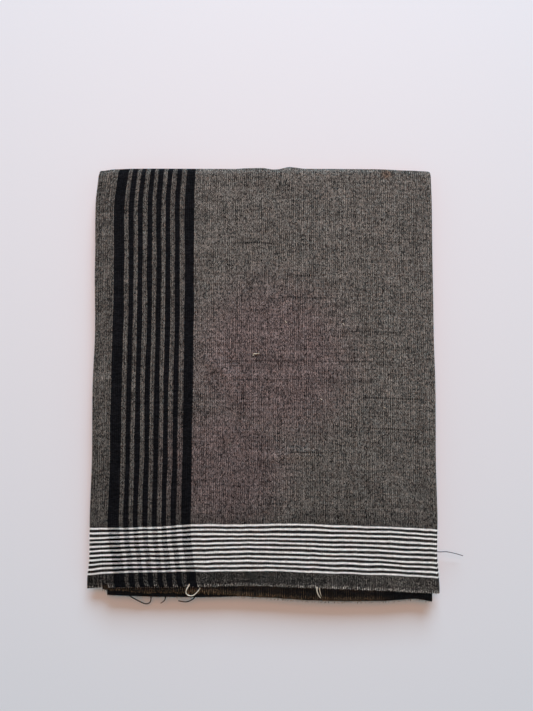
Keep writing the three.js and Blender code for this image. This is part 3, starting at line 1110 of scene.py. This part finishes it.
@dataclass(frozen=True)
class YarnFinish:
    """Loose cotton yarn: two tones with the grain of its spinning."""

    name: str
    dark: Colour
    light: Colour
    yarns_per_metre: float = 1800.0
    mixing: Ramp = (0.2, 1.8, 0.0, 1.0)
    roughness: Ramp = (0.2, 1.8, 0.98, 0.85)
    gloss: float = 0.1
    bump_strength: float = 0.3
    bump_height: float = 0.1

    def material(self) -> Material:
        """Builds the yarn's material, which reads Object coordinates."""
        material, shader, sketch = started(self.name)
        local = sketch.value("ShaderNodeTexCoord", "Object", {})
        x, y, z = sketch.values(sketch.node("ShaderNodeSeparateXYZ", {0: local}), 0, 1, 2)
        across, along = x * self.yarns_per_metre, (y + z) * self.yarns_per_metre
        shade, _ = YarnGrain().place(sketch, across, along)
        share = shade.ease(*self.mixing)
        sketch.feed(shader["Base Color"], sketch.mix(share, self.dark, self.light))
        sketch.feed(shader["Roughness"], shade.ease(*self.roughness))
        sketch.feed(shader["Normal"], sketch.bump(shade, self.bump_strength, self.bump_height))
        shader["Specular IOR Level"].default_value = self.gloss
        return material


@dataclass(frozen=True)
class Strand:
    """One yarn end: the places it passes through, and its width at root and tip."""

    places: tuple[Place, ...]
    root: float
    tip: float


def smooth_route(places: tuple[Place, ...], count: int) -> Array:
    """Runs a smooth curve through a few places.

    Args:
        places: The places, in millimetres.
        count: How many points to return for each stretch between two of them.

    Returns:
        Points along a Catmull-Rom curve.
    """
    knots = np.array([places[0], *places, places[-1]], float)
    route = [knots[1]]
    for i in range(len(places) - 1):
        a, b, c, d = knots[i : i + 4]
        for t in np.linspace(0.0, 1.0, count + 1)[1:]:
            bend = (2 * a - 5 * b + 4 * c - d) * t**2 + (3 * b - a - 3 * c + d) * t**3
            route.append(0.5 * (2 * b + (c - a) * t + bend))
    return np.array(route)


@dataclass
class StrandMaker:
    """Sweeps strands into one mesh of tapered tubes."""

    sides: int = 6
    steps: int = 6

    def build(self, name: str, finish: YarnFinish, strands: Iterable[Strand]) -> Object:
        """Makes one object from strands.

        Args:
            name: The object's name.
            finish: What it looks like.
            strands: The strands, in millimetres.

        Returns:
            A mesh of closed tubes.
        """
        points: list[Array] = []
        faces: list[tuple[int, ...]] = []
        base = 0
        for strand in strands:
            ring_points, ring_faces = self.tube(strand)
            points.append(ring_points)
            faces.extend(tuple(base + i for i in face) for face in ring_faces)
            base += len(ring_points)
        mesh = bpy.data.meshes.new(name)
        mesh.from_pydata((np.concatenate(points) * MM).tolist(), [], faces)
        made = bpy.data.objects.new(name, mesh)
        bpy.context.scene.collection.objects.link(made)
        deselect()
        made.select_set(True)
        bpy.context.view_layer.objects.active = made
        bpy.ops.object.mode_set(mode="EDIT")
        bpy.ops.mesh.select_all(action="SELECT")
        bpy.ops.mesh.normals_make_consistent(inside=False)
        bpy.ops.object.mode_set(mode="OBJECT")
        bpy.ops.object.shade_smooth()
        mesh.materials.append(finish.material())
        return made

    def tube(self, strand: Strand) -> tuple[Array, list[tuple[int, ...]]]:
        """Sweeps one strand.

        Args:
            strand: The strand.

        Returns:
            The tube's points and faces.
        """
        route = smooth_route(strand.places, self.steps)
        ways = np.gradient(route, axis=0)
        ways /= np.linalg.norm(ways, axis=1)[:, None]
        side = np.cross(ways, [0.0, 0.0, 1.0])
        flat = np.linalg.norm(side, axis=1) < 0.05
        side[flat] = [1.0, 0.0, 0.0]
        side /= np.linalg.norm(side, axis=1)[:, None]
        up = np.cross(side, ways)
        width = np.linspace(strand.root, strand.tip, len(route))[:, None, None] / 2
        angles = np.linspace(0.0, 2.0 * math.pi, self.sides, endpoint=False)
        turn_side, turn_up = np.cos(angles)[None, :, None], np.sin(angles)[None, :, None]
        rings = side[:, None] * turn_side + up[:, None] * turn_up
        points = (route[:, None] + rings * width).reshape(-1, 3)
        faces: list[tuple[int, ...]] = []
        for i in range(len(route) - 1):
            for j in range(self.sides):
                a, b = i * self.sides + j, i * self.sides + (j + 1) % self.sides
                faces.append((a, b, b + self.sides, a + self.sides))
        last = (len(route) - 1) * self.sides
        faces.append(tuple(range(self.sides)))
        faces.append(tuple(range(last + self.sides - 1, last - 1, -1)))
        return points, faces


@dataclass(frozen=True)
class FrayedEnd:
    """The short warp ends that stand out of one panel's cut end."""

    name: str
    panel: Panel
    finish: YarnFinish
    spacing: float
    length: Pair
    width: float
    seed: int
    stop: float = 150.0
    lean: float = 0.22
    curl: Pair = (0.12, 0.14)
    widths: Pair = (0.75, 1.2)
    spacings: Pair = (0.5, 1.6)

    def build(self, cloth: FoldedCloth) -> Object:
        """Makes the ends along the panel's cut.

        Args:
            cloth: The folded cloth that they grow out of.

        Returns:
            One object with all of the ends.
        """
        edge, way = cloth.cut_edge(self.panel)
        draw = np.random.default_rng(self.seed)
        strands: list[Strand] = []
        x = edge[0, 0] + 0.3
        while x < min(edge[-1, 0], self.stop) - 0.2:
            root = np.array([np.interp(x, edge[:, 0], edge[:, i]) for i in range(3)])
            out = np.array([np.interp(x, edge[:, 0], way[:, i]) for i in range(3)])
            out[0] += draw.normal(0.0, self.lean)
            reach = draw.uniform(*self.length)
            curl_x, curl_z = draw.normal(0.0, self.curl[0]), draw.normal(-0.05, self.curl[1])
            curl = np.array([curl_x, 0.0, curl_z]) * reach
            places = (root - out * 0.8, root + out * reach * 0.5, root + out * reach + curl)
            width = self.width * draw.uniform(*self.widths)
            strands.append(Strand(tuple(tuple(each) for each in places), width, width * 0.6))
            x += self.spacing * draw.uniform(*self.spacings)
        return StrandMaker(sides=4, steps=2).build(self.name, self.finish, strands)


@dataclass(frozen=True)
class LooseYarns:
    """Yarns that have worked loose: one object of them, in one finish."""

    name: str
    finish: YarnFinish
    strands: tuple[Strand, ...]

    def build(self) -> Object:
        """Makes the yarns."""
        return StrandMaker().build(self.name, self.finish, self.strands)


@dataclass(frozen=True)
class Lamp:
    """One soft square light, aimed at the middle of the floor, in metres and watts."""

    name: str
    place: Place
    size: float
    watts: float
    colour: Place

    def build(self) -> None:
        """Hangs the light."""
        data = bpy.data.lights.new(self.name, "AREA")
        data.size = self.size
        data.energy = self.watts
        data.color = self.colour
        lamp = bpy.data.objects.new(self.name, data)
        lamp.location = self.place
        lamp.rotation_euler = Vector(self.place).to_track_quat("Z", "Y").to_euler()
        bpy.context.scene.collection.objects.link(lamp)


@dataclass(frozen=True)
class Studio:
    """The camera, the floor and the lights, in metres, degrees and watts."""

    camera_place: Place = (0.00222, -0.01338, 0.46661)
    camera_tilt: float = 3.825
    camera_roll: float = 0.242
    lens: float = 27.0
    sensor: float = 36.0
    floor_size: float = 6.0
    floor_colour: Colour = (0.8, 0.8, 0.8, 1.0)
    floor_roughness: float = 0.7
    floor_gloss: float = 0.2
    room_colour: Colour = (0.3, 0.85, 1.0, 1.0)
    room_strength: float = 0.335
    wall_colour: Colour = (0.68, 0.67, 0.71, 1.0)
    lamps: tuple[Lamp, ...] = (
        Lamp("window", (0.3, 3.0, 1.7), 1.7, 148.0, (0.572, 0.791, 1.0)),
        Lamp("ceiling", (0.0, 0.35, 1.3), 0.9, 10.2, (1.0, 0.27, 0.02)),
    )

    def build(self) -> None:
        """Sets up everything round the object."""
        self.camera()
        self.floor()
        for lamp in self.lamps:
            lamp.build()
        self.room()

    def room(self) -> None:
        """Fills the room with even light, and shows a pale wall past the floor."""
        world = bpy.data.worlds.new("room")
        world.use_nodes = True
        sketch = Sketch(world.node_tree)
        back = world.node_tree.nodes["Background"].inputs
        seen = sketch.value("ShaderNodeLightPath", "Is Camera Ray", {})
        sketch.feed(back["Color"], sketch.mix(seen, self.room_colour, self.wall_colour))
        sketch.feed(back["Strength"], seen.ease(0.0, 1.0, self.room_strength, 1.0))
        bpy.context.scene.world = world
        bpy.context.scene.view_settings.view_transform = "Standard"

    def camera(self) -> None:
        """Puts the camera where the view is from, almost straight above."""
        data = bpy.data.cameras.new("camera")
        data.sensor_width = self.sensor
        data.sensor_fit = "AUTO"
        data.lens = self.lens
        data.clip_start = 0.01
        camera = bpy.data.objects.new("camera", data)
        tilt = Matrix.Rotation(math.radians(self.camera_tilt), 3, "X")
        roll = Matrix.Rotation(math.radians(self.camera_roll), 3, "Z")
        camera.rotation_euler = (tilt @ roll).to_euler()
        camera.location = self.camera_place
        bpy.context.scene.collection.objects.link(camera)
        bpy.context.scene.camera = camera

    def floor(self) -> None:
        """Lays the plain pale floor."""
        deselect()
        bpy.ops.mesh.primitive_plane_add(size=self.floor_size, location=(0.0, 0.0, 0.0))
        floor = bpy.context.object
        floor.name = "floor"
        material, shader, _ = started("floor")
        shader["Base Color"].default_value = self.floor_colour
        shader["Roughness"].default_value = self.floor_roughness
        shader["Specular IOR Level"].default_value = self.floor_gloss
        floor.data.materials.append(material)


CREASES = (
    Crease(((-51.5, 14), (-27, -0.3), (-21.9, -23.9), (-18.5, -32.3)), 2.0, 3.4),
    Crease(((-21.9, -50.8), (-36.3, -69)), -1.3, 3.0),
    Crease(((0.9, -69), (24.6, -64.8), (47.5, -65.6)), 1.6, 3.4),
)

WEFT_BARS = (
    WeftBar(287.4, 115.0, 155.0, 1.5, 0.75),
    WeftBar(258.4, 168.0, 190.0, 1.4, 0.75),
    WeftBar(239.9, 152.0, 205.0, 1.4, 0.58),
    WeftBar(211.9, 205.0, 270.0, 1.4, 0.54),
    WeftBar(186.4, 118.0, 262.0, 1.4, 0.46),
    WeftBar(170.4, 118.0, 240.0, 1.4, 0.52),
    WeftBar(156.4, 228.0, 280.0, 1.6, 0.75),
    WeftBar(131.4, 230.0, 276.0, 1.3, 0.68),
    WeftBar(109.9, 165.0, 195.0, 1.2, 0.75),
)

# Painted crease highlights (positive shade) and painted crease shade (negative shade)
CREASE_SHADING = (
    CreaseShading((126.8, 210.3), (155.6, 207.0), 5.5, 0.36),
    CreaseShading((148.8, 106.3), (183.5, 106.3), 5.5, 0.36),
    CreaseShading((111.6, 192.5), (126.8, 156.0), 4.5, -0.3),
    CreaseShading((126.0, 164.4), (126.0, 139.3), 3.5, -0.32),
    CreaseShading((115.8, 177.2), (115.8, 164.4), 7.0, 0.2),
    CreaseShading((0.0, 176.0), (14.3, 176.0), 6.0, 0.3),
)

BLACK_YARN = YarnFinish("black_yarn", (0.01, 0.008, 0.01, 1.0), (0.035, 0.026, 0.028, 1.0))
CREAM_YARN = YarnFinish("cream_yarn", (0.45, 0.36, 0.25, 1.0), (0.82, 0.74, 0.6, 1.0))
GREY_YARN = YarnFinish("grey_yarn", (0.04, 0.036, 0.042, 1.0), (0.1, 0.09, 0.1, 1.0))
PALE_YARN = YarnFinish("pale_yarn", (0.05, 0.045, 0.04, 1.0), (0.42, 0.38, 0.33, 1.0))
GOLD_YARN = YarnFinish("gold_yarn", (0.012, 0.009, 0.006, 1.0), (0.24, 0.15, 0.075, 1.0))

BLACK_STRANDS = (
    Strand(((-112.5, -179.5, 11.8), (-110.6, -183, 11.9), (-106.2, -186.6, 10), (-99, -192, 5.5),
            (-95, -191.2, 4.5), (-93.8, -186, 6)), 1.05, 0.8),
    Strand(((-80.4, -180, 11.8), (-80.6, -183.2, 11.8), (-82, -187.8, 9), (-86, -192, 4.5)),
           1.3, 0.6),
    Strand(((-56, -180.5, 11.8), (-56.4, -183.6, 11.9), (-58.5, -186.6, 10), (-64, -189.6, 7.5),
            (-70.8, -189, 7)), 1.1, 0.8),
)
CREAM_STRANDS = (
    Strand(((-60.7, -172.6, 13.5), (-61.3, -174.4, 14.2), (-62.9, -176.9, 14.0),
            (-63.5, -180.0, 13.6), (-61.5, -182.2, 13.2), (-58.0, -182.4, 13.2),
            (-55.0, -180.2, 13.6), (-52.6, -177.2, 14.2), (-51.9, -175.8, 14.6)), 1.05, 0.8),
    Strand(((44.9, -174.6, 13.8), (44.6, -177.0, 14.4), (45.6, -180.6, 14.1),
            (48.2, -184.4, 12.9), (51.2, -188.2, 10.2)), 1.35, 0.5),
    Strand(((46.6, -174.8, 13.8), (47.0, -177.4, 14.3), (47.9, -181.0, 13.7),
            (49.0, -184.4, 12.6)), 0.8, 0.45),
)
SIDE_STRANDS = (
    Strand(((141.5, -146, 11.1), (147.5, -146.9, 10.7), (154, -147, 10), (161.5, -148.8, 8.6),
            (168.4, -151, 7.2)), 0.7, 0.55),
)
FLECKS = (
    Strand(((-8.8, 18.3, 16.3), (-6.6, 18.0, 16.6), (-3.6, 18.7, 16.3)), 0.85, 0.6),
    Strand(((-8.6, 18.3, 16.4), (-8.7, 17.2, 16.5), (-9.4, 16.4, 16.2)), 0.8, 0.5),
    Strand(((18.2, 46.2, 16.3), (18.7, 45.2, 16.5), (19.6, 44.9, 16.2)), 0.75, 0.5),
    Strand(((67.0, 44.4, 16.2), (67.6, 43.6, 16.5), (67.8, 42.9, 16.2)), 0.7, 0.5),
    Strand(((47.9, -19.2, 16.3), (48.4, -20.1, 16.5), (49.2, -20.6, 16.2)), 0.7, 0.5),
    Strand(((101.0, -26.2, 16.2), (101.8, -26.9, 16.4), (102.7, -26.8, 16.1)), 0.7, 0.5),
)


def dress(piece: Object, slot: str, *nodes: str) -> None:
    """Ties a finished piece to the root body, and hides the parts that it stands for.

    Args:
        piece: The piece.
        slot: The name of a material slot, which is not used.
        *nodes: The nodes that it stands for.
    """
    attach(piece, "root")
    if nodes:
        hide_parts(*nodes)
    LOG.info("%s: %d faces", piece.name, len(piece.data.polygons))


def main() -> None:
    """Builds the studio, the cloth, its frayed ends and its loose yarns, in that order."""
    Studio().build()

    folded = FoldedCloth(Settling(), creases=CREASES)
    flat = folded.flat_size()
    cloth = folded.build()
    cloth.data.materials.append(Chambray(*flat, bars=WEFT_BARS, crease_shading=CREASE_SHADING).material())
    dress(cloth, "body_cloth", "top_panel", "under_panel", "second_layer", "hidden_layers")

    frays = (
        FrayedEnd("top_frayed_ends", Panel.TOP, PALE_YARN, 1.4, (0.3, 0.9), 0.36, 3),
        FrayedEnd("second_frayed_ends", Panel.SECOND, GOLD_YARN, 0.9, (0.5, 2.0), 0.42, 5),
        # The third panel's ends take the black yarn as painted shade, for they lie in the shade of
        # the layers above
        FrayedEnd("third_frayed_ends", Panel.THIRD, BLACK_YARN, 1.1, (0.4, 1.0), 0.4, 7, 0.0),
    )
    pieces = [fray.build(folded) for fray in frays]
    for piece in pieces:
        dress(piece, "loose_yarn")

    loose = (
        (LooseYarns("loose_black_yarns", BLACK_YARN, BLACK_STRANDS), ("frayed_end",)),
        (LooseYarns("loose_cream_yarns", CREAM_YARN, CREAM_STRANDS + FLECKS), ()),
        (LooseYarns("loose_side_yarn", GREY_YARN, SIDE_STRANDS), ("side_yarn",)),
    )
    for yarns, nodes in loose:
        made = yarns.build()
        dress(made, "loose_yarn", *nodes)
        pieces.append(made)
    LOG.info("flat cloth: %.3f by %.3f m", *flat)


if __name__ == "__main__":
    logging.basicConfig(level=logging.INFO, format="%(message)s")
    main()
